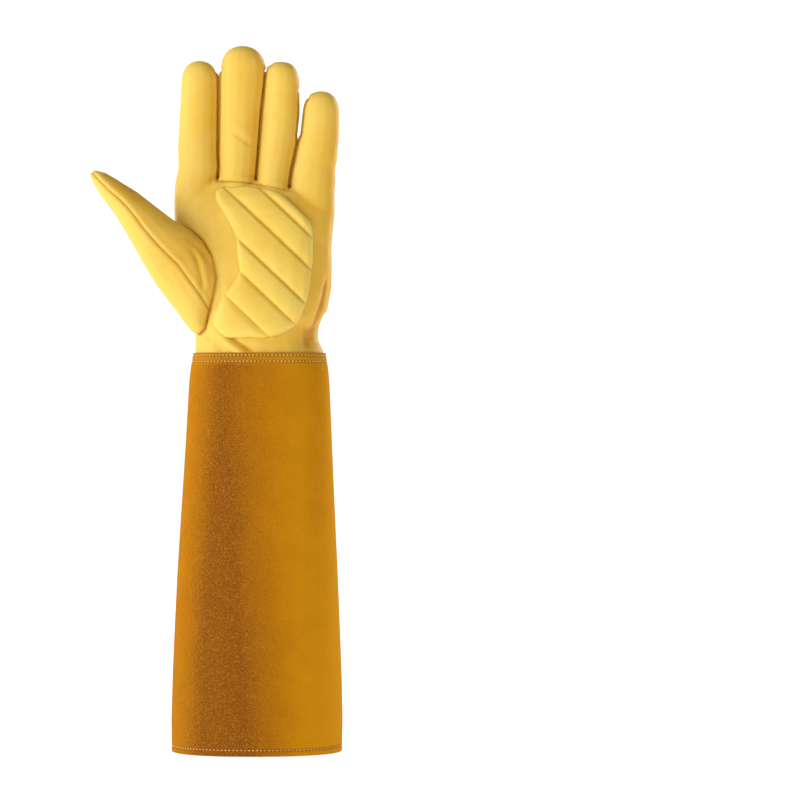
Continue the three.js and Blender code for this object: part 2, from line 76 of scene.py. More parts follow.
def studio_range(socket, low, high, to_low, to_high):
    """A value of the studio's walls, turned smoothly from one range into another."""
    node = studio.nodes.new("ShaderNodeMapRange")
    node.interpolation_type = "SMOOTHSTEP"
    for name, number in zip(range_inputs, (low, high, to_low, to_high)):
        node.inputs[name].default_value = number
    studio.links.new(socket, node.inputs["Value"])
    return node.outputs["Result"]


ceiling = studio_range(parts.outputs["X"], -0.8, 0.5, ceiling_left, ceiling_right)
wall_share = studio_range(parts.outputs["Z"], wall_top, ceiling_start, 1, 0)
blend_walls = studio.nodes.new("ShaderNodeMix")
blend_walls.data_type = "FLOAT"
studio.links.new(wall_share, blend_walls.inputs["Factor"])
studio.links.new(ceiling, blend_walls.inputs[2])
blend_walls.inputs[3].default_value = 1
studio.links.new(blend_walls.outputs[0], background.inputs["Color"])
bpy.context.scene.world = world

lamp_white = (1.0, 0.98, 0.95)
glove_middle = Vector((0, 0, 0.25))


def soft_light(name, place, size, watts):
    """A square soft light that faces the glove's middle."""
    bpy.ops.object.light_add(type="AREA", location=place)
    lamp = bpy.context.object
    lamp.name = name
    lamp.data.size = size
    lamp.data.energy = watts
    lamp.data.color = lamp_white
    lamp.rotation_euler = (glove_middle - Vector(place)).to_track_quat("-Z", "Y").to_euler()


soft_light("window light", (-2.0, -1.15, 1.0), size=1.0, watts=35)
soft_light("back light", (1.6, 1.5, 1.1), size=0.9, watts=23)

floor_size = 60
floor_drop = 0.6 * mm
floor_cloud = 0.4
bpy.ops.mesh.primitive_plane_add(size=floor_size, location=(0, 0, -floor_drop))
floor = bpy.context.object
floor.name = "pale_floor"


class Finish:
    """A material's nodes, added one at a time."""

    def __init__(self, name):
        self.material = bpy.data.materials.new(name)
        self.material.use_nodes = True
        self.tree = self.material.node_tree
        self.shader = self.tree.nodes["Principled BSDF"]
        self.place = self.node("ShaderNodeTexCoord").outputs["Object"]

    def node(self, kind, **values):
        """Adds a node, with values for its inputs or its settings."""
        node = self.tree.nodes.new(kind)
        for name, value in values.items():
            if name in node.inputs:
                self.give(node.inputs[name], value)
            else:
                setattr(node, name, value)
        return node

    def give(self, socket, value):
        """Joins a socket to another one, or sets it to a value."""
        if isinstance(value, bpy.types.NodeSocket):
            self.tree.links.new(value, socket)
        else:
            socket.default_value = value

    def set(self, **values):
        """Gives values to the material's main shader."""
        for name, value in values.items():
            self.give(self.shader.inputs[name.replace("_", " ")], value)

    def attribute(self, name):
        """A value kept on the mesh's points."""
        return self.node("ShaderNodeAttribute", attribute_name=name).outputs["Fac"]

    def grain(self, size, detail=2.0, rough=0.5, stretch=None):
        """Soft clouds of a size in metres, stretched along the axes if asked."""
        place = self.place
        if stretch:
            mapping = self.node("ShaderNodeMapping", Vector=place)
            mapping.inputs["Scale"].default_value = stretch
            place = mapping.outputs["Vector"]
        node = self.node("ShaderNodeTexNoise", Vector=place, Scale=1 / size, Detail=detail)
        node.inputs["Roughness"].default_value = rough
        return node.outputs["Fac"]

    def pebbles(self, size):
        """The fine pebbled pattern of grain leather."""
        node = self.node("ShaderNodeTexVoronoi", Vector=self.place, Scale=1 / size)
        return node.outputs["Distance"]

    def math(self, operation, first, second=0.0, clamp=False):
        """Two values added or multiplied."""
        node = self.node("ShaderNodeMath", operation=operation, use_clamp=clamp)
        self.give(node.inputs[0], first)
        self.give(node.inputs[1], second)
        return node.outputs[0]

    def spread(self, value, low, high, to_low=0.0, to_high=1.0):
        """A value turned evenly from one range into another."""
        node = self.node("ShaderNodeMapRange", Value=value)
        for name, number in zip(range_inputs, (low, high, to_low, to_high)):
            node.inputs[name].default_value = number
        return node.outputs["Result"]

    def mix(self, share, first, second):
        """Two colours mixed by a share."""
        node = self.node("ShaderNodeMix", data_type="RGBA")
        self.give(node.inputs["Factor"], share)
        for socket, value in ((node.inputs[6], first), (node.inputs[7], second)):
            self.give(socket, value if isinstance(value, bpy.types.NodeSocket) else (*value, 1))
        return node.outputs[2]

    def bump(self, height, strength, distance, under=None):
        """Fine relief that only the light shows, laid over a coarser one if asked."""
        node = self.node("ShaderNodeBump", Height=height, Strength=strength, Distance=distance)
        if under:
            self.give(node.inputs["Normal"], under)
        return node.outputs["Normal"]


floor_finish = Finish("pale floor")
floor_tone = floor_finish.spread(floor_finish.grain(floor_cloud), 0.3, 0.7)
floor_colour = floor_finish.mix(floor_tone, (0.8, 0.8, 0.8), (0.83, 0.83, 0.83))
floor_finish.set(Base_Color=floor_colour, Roughness=0.9, Specular_IOR_Level=0.0)
floor_finish.set(Emission_Color=(1, 1, 1, 1), Emission_Strength=0.8)
floor.data.materials.append(floor_finish.material)

# Hand: one skin of leather
# The hand is soft goatskin cut in panels and sewn inside out, so outside it is one smooth skin with
# a narrow valley at each seam. The outside of the panels' solids is taken as that skin, made even
# and soft, and then cut along the seams into the same panels.
hand_panels = (
    "palm_panel",
    "back_panel",
    "middle_finger_fronts",
    "fourchette_index_middle",
    "fourchette_middle_ring",
    "fourchette_ring_little",
    "thumb_inner_panel",
    "thumb_outer_panel",
)
skin_cell = 0.9 * mm
gap_closing = 0.25 * mm
softening_rounds = 18
softening_loss = 0.1 * mm
skin_foot = 253 * mm


def use(obj):
    """Selects one object alone and makes it the active one."""
    bpy.ops.object.select_all(action="DESELECT")
    obj.select_set(True)
    bpy.context.view_layer.objects.active = obj


def finish_with(obj, kind, **values):
    """Adds a modifier to an object and applies it."""
    use(obj)
    modifier = obj.modifiers.new(kind.title(), kind)
    for name, value in values.items():
        setattr(modifier, name, value)
    bpy.ops.object.modifier_apply(modifier=modifier.name)


def copy_of(nodes, name):
    """One object of the nodes' meshes joined and merged."""
    copies = []
    for node in nodes:
        part = bpy.data.objects.new(node + "_copy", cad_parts[node].data.copy())
        bpy.context.collection.objects.link(part)
        copies.append(part)
    use(copies[0])
    for part in copies:
        part.select_set(True)
    if len(copies) > 1:
        bpy.ops.object.join()
    copy = bpy.context.object
    copy.name = name
    copy.data.materials.clear()
    bpy.ops.object.mode_set(mode="EDIT")
    bpy.ops.mesh.select_all(action="SELECT")
    bpy.ops.mesh.remove_doubles(threshold=1e-6)
    bpy.ops.object.mode_set(mode="OBJECT")
    return copy


def points_of(obj):
    """A mesh's points as rows of x, y and z in metres."""
    points = np.empty(len(obj.data.vertices) * 3)
    obj.data.vertices.foreach_get("co", points)
    return points.reshape(-1, 3)


def normals_of(obj):
    """The way that the surface faces at each of a mesh's points."""
    normals = np.empty(len(obj.data.vertices) * 3, dtype=np.float32)
    obj.data.vertex_normals.foreach_get("vector", normals)
    return normals.reshape(-1, 3).astype(float)


def place_points(obj, points):
    """Moves a mesh's points to new places."""
    obj.data.vertices.foreach_set("co", points.ravel())
    obj.data.update()


def keep_value(obj, name, values):
    """Keeps a value at each of a mesh's points, for its material to read."""
    attribute = obj.data.attributes.new(name, "FLOAT", "POINT")
    attribute.data.foreach_set("value", np.asarray(values, dtype=np.float32))


# Each gap between two fingers is a middle line, given as (height, x), and the height where the two
# fingers part. Heights here are above the hem, and they and the other sizes are in mm.
finger_gaps = (
    ([(378, -25.6), (400, -25.7), (440, -25.2), (460, -25)], 448),
    ([(376, -0.9), (400, 1.0), (420, 2.5), (440, 4.9), (455, 6.6)], 452),
    ([(374, 21.3), (384, 22.9), (400, 26.5), (420, 29.1), (430, 30.7)], 406),
)
crotch_height = 371
full_spread_height = 386
finger_spread = 2.2
finger_foot = 375.5
finger_length = 88
finger_lean = 9


def gap_middle(gap, z):
    """Where a gap's middle line runs, in x, at a height."""
    heights, middles = zip(*gap[0])
    return np.interp(z, heights, middles)


def spread_fingers(points, way):
    """Fans the fingers out sideways by a few mm, or with way = -1 brings them back."""
    x, _, z = (points / mm).T
    lift = np.clip((z - crotch_height) / (full_spread_height - crotch_height), 0, 1)
    lift = lift * lift * (3 - 2 * lift)
    shift = -1.5 * finger_spread * lift
    for number, gap in enumerate(finger_gaps):
        moved = (number - 1) * finger_spread * lift if way < 0 else 0
        shift += finger_spread * lift * (x > gap_middle(gap, z) + moved)
    points[:, 0] += way * shift * mm
    return points


def close_gaps(points, outward):
    """Swells the fingers' sides between them until they all but touch, as stuffed fingers do."""
    left_open = 0.1
    touching_depth = 5
    wall_reach, wall_fade, wall_overlap = 5.5, 2.5, 3
    root_fade, tip_fade = 4, 6
    x, y, z = (points / mm).T
    depth = np.exp(-(((y - finger_curl(z)) / touching_depth) ** 4))
    for gap in finger_gaps:
        rise = np.clip((z - crotch_height) / root_fade, 0, 1) * np.clip((gap[1] - z) / tip_fade, 0, 1)
        middle = gap_middle(gap, z)
        for side in (-1, 1):
            apart = side * (x - middle)
            facing = np.clip(-3 * side * outward[:, 0], 0, 1) * (apart > -wall_overlap)
            facing *= np.clip((wall_reach - apart) / wall_fade, 0, 1)
            x = x - side * (apart - left_open) * facing * rise * depth
    points[:, 0] = x * mm
    return points


def finger_curl(z):
    """How far the fingers lean towards the palm at a height, all in mm."""
    return -finger_lean * (np.maximum(0, z - finger_foot) / finger_length) ** 2


skin = copy_of(hand_panels, "hand_skin")
place_points(skin, spread_fingers(points_of(skin), 1))
finish_with(skin, "DISPLACE", mid_level=0, strength=gap_closing)

# A plug closes the wrist, so that the remesh gives one closed shell outside and one inside. The inner
# one is dropped, and the plug is cut off again with the foot.
rim = points_of(skin)
rim = rim[rim[:, 2] < rim[:, 2].min() + 1 * mm]
low, high = rim.min(axis=0), rim.max(axis=0)
plug_height = 3 * mm
plug_fit = 1.03
bpy.ops.object.select_all(action="DESELECT")
bpy.ops.mesh.primitive_cylinder_add(
    vertices=64,
    radius=1,
    depth=plug_height,
    location=((low[0] + high[0]) / 2, (low[1] + high[1]) / 2, low[2] + plug_height / 2),
    scale=((high[0] - low[0]) / 2 * plug_fit, (high[1] - low[1]) / 2 * plug_fit, 1),
)
bpy.ops.object.transform_apply(location=True, rotation=True, scale=True)
skin.select_set(True)
bpy.context.view_layer.objects.active = skin
bpy.ops.object.join()
finish_with(skin, "REMESH", mode="VOXEL", voxel_size=skin_cell)

use(skin)
bpy.ops.object.mode_set(mode="EDIT")
bpy.ops.mesh.select_all(action="SELECT")
bpy.ops.mesh.separate(type="LOOSE")
bpy.ops.object.mode_set(mode="OBJECT")
shells = sorted(bpy.context.selected_objects, key=lambda shell: len(shell.data.vertices))
skin = shells.pop()
for shell in shells:
    bpy.data.objects.remove(shell)
skin.name = "hand_skin"
finish_with(skin, "SMOOTH", factor=0.5, iterations=softening_rounds)
finish_with(skin, "DISPLACE", mid_level=0, strength=softening_loss)
place_points(skin, spread_fingers(points_of(skin), -1))

# The tips of the middle and ring fingers are at their fullest where they meet, and the ring finger's
# shoulder stands a little higher there.
fullest_height, fullness_span = 444, 13
fullness_start, fullness_reach = 400, 12
middle_fuller, ring_fuller = 1.6, 0.8
shoulder_x, shoulder_width, shoulder_rise = 11, 3.5, 1.1
shoulder_start, shoulder_fade = 438, 8
tip_points = points_of(skin)
x, y, z = (tip_points / mm).T
tip_line = gap_middle(finger_gaps[1], z)
fullness = np.exp(-(((z - fullest_height) / fullness_span) ** 2)) * (z > fullness_start)
for side, fuller in ((-1, middle_fuller), (1, ring_fuller)):
    reach = np.clip(side * (x - tip_line), 0, fullness_reach) / fullness_reach
    inside = side * (x - tip_line) > -0.5
    tip_points[:, 0] -= side * fuller * mm * fullness * (1 - reach) ** 2 * (1 + 2 * reach) * inside
shoulder = np.exp(-(((x - shoulder_x) / shoulder_width) ** 2))
shoulder = shoulder * np.clip((z - shoulder_start) / shoulder_fade, 0, 1)
tip_points[:, 2] += shoulder_rise * mm * shoulder * (x > tip_line)
place_points(skin, tip_points)

# A second closing takes up what the first one leaves open.
for _ in range(2):
    place_points(skin, close_gaps(points_of(skin), normals_of(skin)))


def smooth_where(obj, name, weights, rounds):
    """Smooths an object's points as far as their weights say."""
    least_weight = 0.02
    group = obj.vertex_groups.new(name=name)
    for number in np.flatnonzero(weights > least_weight):
        group.add([int(number)], float(weights[number]), "REPLACE")
    finish_with(obj, "SMOOTH", factor=0.5, iterations=rounds, vertex_group=name)
    obj.vertex_groups.clear()


# On the back the leather runs on smoothly from the knuckles into the fingers.
knuckle_height, knuckle_span = 368, 12
knuckle_rounds = 150
faces_back = np.clip(2 * normals_of(skin)[:, 1] - 0.5, 0, 1)
knuckle_away = (points_of(skin)[:, 2] / mm - knuckle_height) / knuckle_span
smooth_where(skin, "knuckles", faces_back * np.exp(-(knuckle_away**2)), knuckle_rounds)
use(skin)
bpy.ops.object.mode_set(mode="EDIT")
bpy.ops.mesh.select_all(action="SELECT")
bpy.ops.mesh.bisect(plane_co=(0, 0, skin_foot), plane_no=(0, 0, 1), clear_inner=True)
bpy.ops.object.mode_set(mode="OBJECT")

# Cutting the skin: each point knows how near it is to each panel's solid, and a seam runs where two
# panels are equally near. The points are moved to that difference, cut at nothing, and moved back.
near_limit = 9 * mm
panel_trees = []
for name in hand_panels:
    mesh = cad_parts[name].data
    corners = [vertex.co for vertex in mesh.vertices]
    faces = [tuple(face.vertices) for face in mesh.polygons]
    panel_trees.append(BVHTree.FromPolygons(corners, faces))

cutting = bmesh.new()
cutting.from_mesh(skin.data)
near = [cutting.verts.layers.float.new(name) for name in hand_panels]
rest = cutting.verts.layers.float_vector.new("rest")
for vertex in cutting.verts:
    vertex[rest] = vertex.co
    for layer, tree in zip(near, panel_trees):
        distance = tree.find_nearest(vertex.co, near_limit)[3]
        vertex[layer] = near_limit if distance is None else distance


def panel_spans(face):
    """How far a face is from each panel's solid, summed over its corners."""
    return [sum(vertex[layer] for vertex in face.verts) for layer in near]


crossed = {}
for face in cutting.faces:
    spans = panel_spans(face)
    first, second = sorted(sorted(range(len(spans)), key=spans.__getitem__)[:2])
    sides = [vertex[near[first]] - vertex[near[second]] for vertex in face.verts]
    if min(sides) < 0 < max(sides):
        crossed.setdefault((first, second), set()).add(face)
for (first, second), faces in crossed.items():
    faces = [face for face in faces if face.is_valid]
    edges = {edge for face in faces for edge in face.edges}
    corners = {vertex for face in faces for vertex in face.verts}
    for vertex in corners:
        vertex.co.x = vertex[near[first]] - vertex[near[second]]
    made = bmesh.ops.bisect_plane(
        cutting, geom=[*corners, *edges, *faces], plane_co=(0, 0, 0), plane_no=(1, 0, 0), dist=0.01 * mm
    )
    for part in itertools.chain(corners, made["geom"]):
        if isinstance(part, bmesh.types.BMVert):
            part.co = part[rest]

# The thumb's seam bulges towards the palm, where the leather at the thumb's root is fullest.
bulge = 3 * mm
bulge_x, bulge_z = -30 * mm, 308 * mm
bulge_width, bulge_height, bulge_depth = 10 * mm, 20 * mm, 8 * mm
for vertex in cutting.verts:
    away = math.hypot((vertex.co.x - bulge_x) / bulge_width, (vertex.co.z - bulge_z) / bulge_height)
    front_share = min(max(-vertex.co.y / bulge_depth, 0), 1)
    vertex.co.x += bulge * front_share * math.exp(-(away**2))

panel_of = cutting.faces.layers.int.new("panel")
for face in cutting.faces:
    spans = panel_spans(face)
    face[panel_of] = spans.index(min(spans))
seam_points = []
for edge in cutting.edges:
    if len({face[panel_of] for face in edge.link_faces}) > 1:
        start, end = (vertex.co for vertex in edge.verts)
        seam_points += [start.copy(), (start + end) / 2]
cutting.to_mesh(skin.data)
cutting.free()
for name in (*hand_panels, "rest"):
    skin.data.attributes.remove(skin.data.attributes[name])

seam_tree = KDTree(len(seam_points))
for number, point in enumerate(seam_points):
    seam_tree.insert(point, number)
seam_tree.balance()

# Relief: the seams' valleys, the gathers under the zigzag stitch, and the folds that wear has left.
seam_depth = 0.65 * mm
seam_width = 0.9 * mm
puff_height, puff_away, puff_width = 0.25 * mm, 2.6 * mm, 1.2 * mm
turn_sharpness = 1.6
points = points_of(skin)
outward = normals_of(skin)
seam = np.array([seam_tree.find(point)[2] for point in points])
x, y, z = (points / mm).T
facing = outward[:, 1]
front = np.clip(0.5 - turn_sharpness * facing, 0, 1)
back = np.clip(0.5 + turn_sharpness * facing, 0, 1)

# The seams across the fingers' roots and round the thumb's root lie flatter and show less.
roots_height, roots_band, roots_half = 369, 5, 30
thumb_root_x, thumb_root_z = -29, 314
thumb_root_width, thumb_root_height = 6, 20
faint_depth, faint_colour = 0.5, 0.6
at_finger_roots = np.exp(-(((z - roots_height) / roots_band) ** 4)) * (np.abs(x) < roots_half)
at_thumb_root = np.exp(-(((x - thumb_root_x) / thumb_root_width) ** 4))
at_thumb_root = at_thumb_root * np.exp(-(((z - thumb_root_z) / thumb_root_height) ** 4))
faint = np.clip(at_finger_roots + at_thumb_root, 0, 1) * front
relief = -seam_depth * (1 - faint_depth * faint) * np.exp(-((seam / seam_width) ** 2))
relief += puff_height * np.exp(-(((seam - puff_away) / puff_width) ** 2))


def stroke(line, width, depth, side):
    """A soft valley along a line of points (x, z) in mm that fades at its ends; below 0 a ridge."""
    apart = np.full(len(x), np.inf)
    along = np.zeros(len(x))
    start = 0
    for (x0, z0), (x1, z1) in zip(line, line[1:]):
        length = math.hypot(x1 - x0, z1 - z0)
        share = np.clip(((x - x0) * (x1 - x0) + (z - z0) * (z1 - z0)) / length**2, 0, 1)
        gap = np.hypot(x - x0 - share * (x1 - x0), z - z0 - share * (z1 - z0))
        along = np.where(gap < apart, start + share * length, along)
        apart = np.minimum(apart, gap)
        start += length
    fade = np.clip(0.25 + 4 * (along / start) * (1 - along / start), 0, 1)
    return -depth * mm * side * fade * np.exp(-((apart / width) ** 2))


# Each fold is a line, its width and its depth, in mm: on the palm's side, then on the back. A depth
# below 0 is a ridge beside a fold.
palm_folds = (
    ([(-17, 407), (-12, 403.5), (-3, 398)], 1.5, 0.55),
    ([(-10, 408), (-3, 403)], 2.5, -0.4),
    ([(-42, 331), (-38, 322), (-35.5, 311), (-34, 299)], 2.1, 1.1),
    ([(-38, 328), (-34, 318), (-31.5, 305)], 1.8, -0.6),
    ([(-47, 338), (-38, 331), (-30.5, 321), (-29, 314)], 1.6, 0.6),
    ([(-60.5, 320), (-57, 317)], 1.4, 0.5),
    ([(48, 314), (45.5, 300), (42, 288), (38, 276)], 2.6, 2.2),
    ([(42, 308), (38.5, 292), (33, 280)], 3.2, -0.8),
    ([(-22, 275.5), (-12, 268.5), (0, 261)], 2.5, 1.3),
    ([(-37, 274.5), (-29, 268.5), (-20, 260)], 2.8, 0.9),
    ([(-30, 278.5), (-19, 269.5), (-6, 259)], 2.8, -1.6),
    ([(-2, 269), (8, 266)], 2.4, -0.4),
    ([(34.5, 280), (33.5, 264)], 4.6, 2.0),
    ([(22, 280), (27, 284), (33, 286)], 3.0, -0.8),
    ([(-28, 372), (-24, 352)], 5.0, 0.5),
    ([(-30, 360), (-26, 335)], 7.0, 0.7),
)
back_folds = (
    ([(-25, 368), (-22, 340)], 4.5, 1.1),
    ([(-0.5, 366), (2, 338)], 4.5, 1.1),
    ([(21.5, 362), (20, 334)], 4.5, 1.1),
    ([(37, 340), (31, 316), (25, 296)], 3.0, 1.8),
    ([(41, 332), (35, 312), (28, 292)], 2.6, -1.3),
    ([(14, 330), (8, 312)], 6.0, 0.9),
    ([(-24, 322), (-14, 308)], 6.0, 0.6),
    ([(-64, 319), (-57, 322), (-50, 328)], 2.2, 1.0),
    ([(-58, 312), (-52, 315), (-48, 320)], 2.4, -0.7),
    ([(-70, 336), (-60, 342)], 2.4, 0.6),
)
for line, width, depth in palm_folds:
    relief += stroke(line, width, depth, front)
for line, width, depth in back_folds:
    relief += stroke(line, width, depth, back)

# The gathers: a line of elastic draws the back's leather into eight teeth, with folds above them
# that fade towards the knuckles and shorter ones below.
gather_height = 285
gather_teeth = 8
tooth_height = 5.2
stitch_dent, dent_above, dent_width = 1.0, 0.6, 0.9
stitch_ridge, ridge_below, ridge_width = 0.45, 1.6, 1.6
upper_pleats, upper_ridges, upper_reach = 3.4, 0.7, 17
lower_pleats, lower_ridges, lower_reach = 1.3, 0.3, 9
gather_fade = 6
wrist_points = points[np.abs(z - gather_height) < 1.5] / mm
wrist_left, wrist_right = wrist_points[:, 0].min(), wrist_points[:, 0].max()
# The folds lean a little, and differ in depth and length, as gathered leather does.
lean = 0.1 * np.sin(x / 9) * np.clip((z - gather_height) / 6, 0, 4)
tooth = (x + lean - wrist_left) / (wrist_right - wrist_left) * gather_teeth
crest = np.abs(2 * (tooth - np.floor(tooth)) - 1)
above = z - gather_height - tooth_height * (crest - 0.5)
edge_fade = np.clip((x - wrist_left) / gather_fade, 0, 1)
edge_fade = edge_fade * np.clip((wrist_right - x) / gather_fade, 0, 1)
uneven = 0.8 + 0.3 * np.sin(2.1 * np.floor(tooth + 0.5)) + 0.15 * np.sin(x / 3.7)
fade_up = upper_reach + 5 * np.sin(x / 6)
upper = np.clip(above / 3, 0, 1) * np.exp(-((np.maximum(above, 0) / fade_up) ** 2))
lower = np.clip(-above / 2, 0, 1) * np.exp(-((np.minimum(above, 0) / lower_reach) ** 2))
pleat = (1 - crest) ** 1.4
gathers = -stitch_dent * np.exp(-(((above - dent_above) / dent_width) ** 2))
gathers += stitch_ridge * np.exp(-(((above + ridge_below) / ridge_width) ** 2))
gathers += -upper_pleats * uneven * pleat * upper + upper_ridges * (1 - pleat) * upper
gathers += -lower_pleats * uneven * pleat * lower + lower_ridges * lower
relief += gathers * mm * edge_fade * back
gather_shade = (1.3 * uneven * pleat * upper + 0.7 * pleat * lower) * edge_fade * back
points += outward * relief[:, None]
place_points(skin, points)


def hollows(obj, rounds):
    """How deep each point lies below its softened surface: 1 at 0.6 mm down, and below 0 on a ridge."""
    full_depth = 0.6 * mm
    sharp, out = points_of(obj), normals_of(obj)
    finish_with(obj, "SMOOTH", factor=0.5, iterations=rounds)
    depth = ((points_of(obj) - sharp) * out).sum(axis=1)
    place_points(obj, sharp)
    return np.clip(depth / full_depth, -1, 1)


def patch(middle_x, middle_z, half_width, half_height):
    """A soft patch of the hand's surface round a middle, in mm."""
    return np.exp(-(((x - middle_x) / half_width) ** 2) - ((z - middle_z) / half_height) ** 2)


# Painted light and shade: hollows, folds and the gathers' pleats are painted darker as shade, sides
# that face right, such as the little finger's, are painted deeper and sides that face left paler, and
# ridges are painted paler as a highlight.
wrist_shade = patch(35, 272, 6, 6) * front
wrist_shade -= stroke([(48, 314), (45.5, 300), (42, 288), (37, 274)], 3.2, 1.6, front) / mm
wrist_shade -= stroke([(-20, 273), (-12, 268), (-2, 262)], 2.6, 0.15, front) / mm
back_shade = 0.5 * patch(22, 312, 14, 18) * back
on_thumb = np.clip((-22 - x) / 6, 0, 1) * np.clip((366 - z) / 8, 0, 1) * front
# Painted shade on the sides that face right and painted light on those that face left, less on the
# thumb and on the back.
side_painted_shade = np.clip(outward[:, 0], -0.7, 1 - 0.7 * on_thumb) * (1 - 0.6 * back)
# Painted shade along the wrist's folds and in the gathers' pleats, added to the hollows' painted shade.
fold_painted_shade = 0.55 * (wrist_shade + gather_shade)
seam_line = 0.7 * mm
keep_value(skin, "hollow", np.clip(hollows(skin, 40) + fold_painted_shade, -1, 1))
keep_value(skin, "deeper", side_painted_shade + wrist_shade + back_shade + gather_shade)
keep_value(skin, "seam", (1 - faint_colour * faint) * np.exp(-((seam / seam_line) ** 2)))


def leather(name, pale, deep, seam_and_shade_colour):
    """Smooth grain leather: fine pebbles, a mottled dye, dark seam lines, and painted light and shade
    from its hollows and its sides.
    """
    cloud_size, mottle_size, shine_size = 28 * mm, 5 * mm, 4 * mm
    pebble_size, fibre_size, pebble_depth = 0.8 * mm, 0.5 * mm, 0.12 * mm
    ripple_size, ripple_depth = 6 * mm, 0.6 * mm
    finish = Finish(name)
    cloud = finish.spread(finish.grain(cloud_size, 4, 0.6), 0.35, 0.65, 0.1, 0.45)
    mottle = finish.spread(finish.grain(mottle_size, 3), 0.3, 0.7, 0, 0.12)
    # Painted light and shade: darker in hollows, in folds and on shaded sides, paler on ridges and lit
    # sides.
    painted_shading = finish.math("MULTIPLY", finish.attribute("hollow"), 0.6)
    painted_shading = finish.math("ADD", painted_shading, finish.math("MULTIPLY", finish.attribute("deeper"), 0.6))
    tone = finish.math("ADD", finish.math("ADD", cloud, mottle), painted_shading, clamp=True)
    colour = finish.mix(tone, pale, deep)
    # The deepest hollows are painted towards the seam colour as shade.
    deepest = finish.spread(finish.attribute("hollow"), 0.3, 1.0, 0, 0.6)
    colour = finish.mix(deepest, colour, seam_and_shade_colour)
    line = finish.math("MULTIPLY", finish.attribute("seam"), 0.4)
    colour = finish.mix(line, colour, seam_and_shade_colour)
    fine = finish.math("ADD", finish.pebbles(pebble_size), finish.grain(fibre_size, 3))
    bump = finish.bump(finish.grain(ripple_size, 3), 0.25, ripple_depth)
    bump = finish.bump(fine, 0.14, pebble_depth, under=bump)
    rough = finish.spread(finish.grain(shine_size), 0.3, 0.7, 0.5, 0.62)
    finish.set(Base_Color=colour, Roughness=rough, Normal=bump)
    finish.set(Sheen_Weight=0.03, Sheen_Roughness=0.45, Sheen_Tint=(1, 0.9, 0.6, 1))
    finish.set(Specular_IOR_Level=0.32)
    return finish.material


grain_leather = leather("grain leather", (0.73, 0.49, 0.08), (0.71, 0.36, 0.009), (0.34, 0.14, 0.006))
back_leather = leather("back leather", (0.75, 0.6, 0.18), (0.66, 0.41, 0.035), (0.4, 0.19, 0.012))
side_leather = leather("side leather", (0.69, 0.4, 0.04), (0.58, 0.28, 0.016), (0.27, 0.1, 0.008))

# Hand panels: the skin taken apart at its seams
# Each panel is its own piece of leather 1.3 mm thick, so a wall is added inside and the hand stays
# hollow. The narrow side strips between the fingers are deeper in colour, and the back is paler.
leather_wall = 1.3 * mm
skin.data.materials.append(grain_leather)
panel_slots = {name: "grain_leather" for name in hand_panels}
panel_finish = {name: grain_leather for name in hand_panels}
panel_finish["back_panel"] = back_leather
for name in hand_panels:
    if name.startswith("fourchette"):
        panel_slots[name] = "side_leather"
        panel_finish[name] = side_leather
for number, name in enumerate(hand_panels):
    use(skin)
    bpy.ops.object.mode_set(mode="EDIT")
    bpy.ops.mesh.select_mode(type="FACE")
    bpy.ops.mesh.select_all(action="DESELECT")
    bpy.ops.object.mode_set(mode="OBJECT")
    panels = np.empty(len(skin.data.polygons), dtype=np.int32)
    skin.data.attributes["panel"].data.foreach_get("value", panels)
    skin.data.polygons.foreach_set("select", panels == number)
    if (panels == number).all():
        panel = skin
    else:
        bpy.ops.object.mode_set(mode="EDIT")
        bpy.ops.mesh.separate(type="SELECTED")
        bpy.ops.object.mode_set(mode="OBJECT")
        panel = next(obj for obj in bpy.context.selected_objects if obj is not skin)
    panel.name = "leather_" + name
    finish_with(panel, "SOLIDIFY", thickness=leather_wall, offset=-1)
    panel.data.attributes.remove(panel.data.attributes["panel"])
    use(panel)
    bpy.ops.object.shade_smooth()
    panel.data.materials.clear()
    panel.data.materials.append(panel_finish[name])
    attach(panel, "root")
    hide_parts(name)

# Palm pad
# A second layer of leather sewn on the palm over soft foam, and quilted by slanting rows of stitches.
# It is a softened copy of the pad's solid with the quilting lines pressed in.
pad_cell = 0.7 * mm
pad_lean = math.radians(43.5)
pad_swell = 0.15 * mm
pad_rounds, thin_edge_rounds = 14, 60
thin_side, thin_side_fade = -9, 8
thin_height, thin_height_fade = 318, 16
# The quilting lines slant by the pad's lean, at these shares of the pad's reach across them.
channel_places = (0.076, 0.243, 0.442, 0.598, 0.788)
channel_depth = 0.5 * mm
channel_width, channel_line = 0.9, 0.6
pad = copy_of(["palm_pad"], "quilted_palm_pad")
finish_with(pad, "REMESH", mode="VOXEL", voxel_size=pad_cell)
finish_with(pad, "SMOOTH", factor=0.5, iterations=pad_rounds)
finish_with(pad, "DISPLACE", mid_level=0, strength=pad_swell)
# Towards the index finger the foam thins out, so the pad's edge there is hardly seen.
pad_x, _, pad_z = (points_of(pad) / mm).T
thinness = np.clip((thin_side - pad_x) / thin_side_fade, 0, 1)
thinness = thinness * np.clip((pad_z - thin_height) / thin_height_fade, 0, 1)
smooth_where(pad, "thin edge", thinness, thin_edge_rounds)
pad_points = points_of(pad)
pad_corners = points_of(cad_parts["palm_pad"]) / mm
across = np.array((math.sin(pad_lean), math.cos(pad_lean)))
pad_reach = pad_corners[:, [0, 2]] @ -across
channels = pad_reach.min() + np.ptp(pad_reach) * np.array(channel_places)
reach = (pad_points[:, [0, 2]] / mm) @ -across
channel_gap = np.abs(reach[:, None] - channels).min(axis=1)
pad_front = np.clip(0.5 - turn_sharpness * normals_of(pad)[:, 1], 0, 1)
pad_relief = -channel_depth * np.exp(-((channel_gap / channel_width) ** 2)) * pad_front
pad_points += normals_of(pad) * pad_relief[:, None]
place_points(pad, pad_points)
keep_value(pad, "seam", 0.6 * np.exp(-((channel_gap / channel_line) ** 2)) * pad_front)
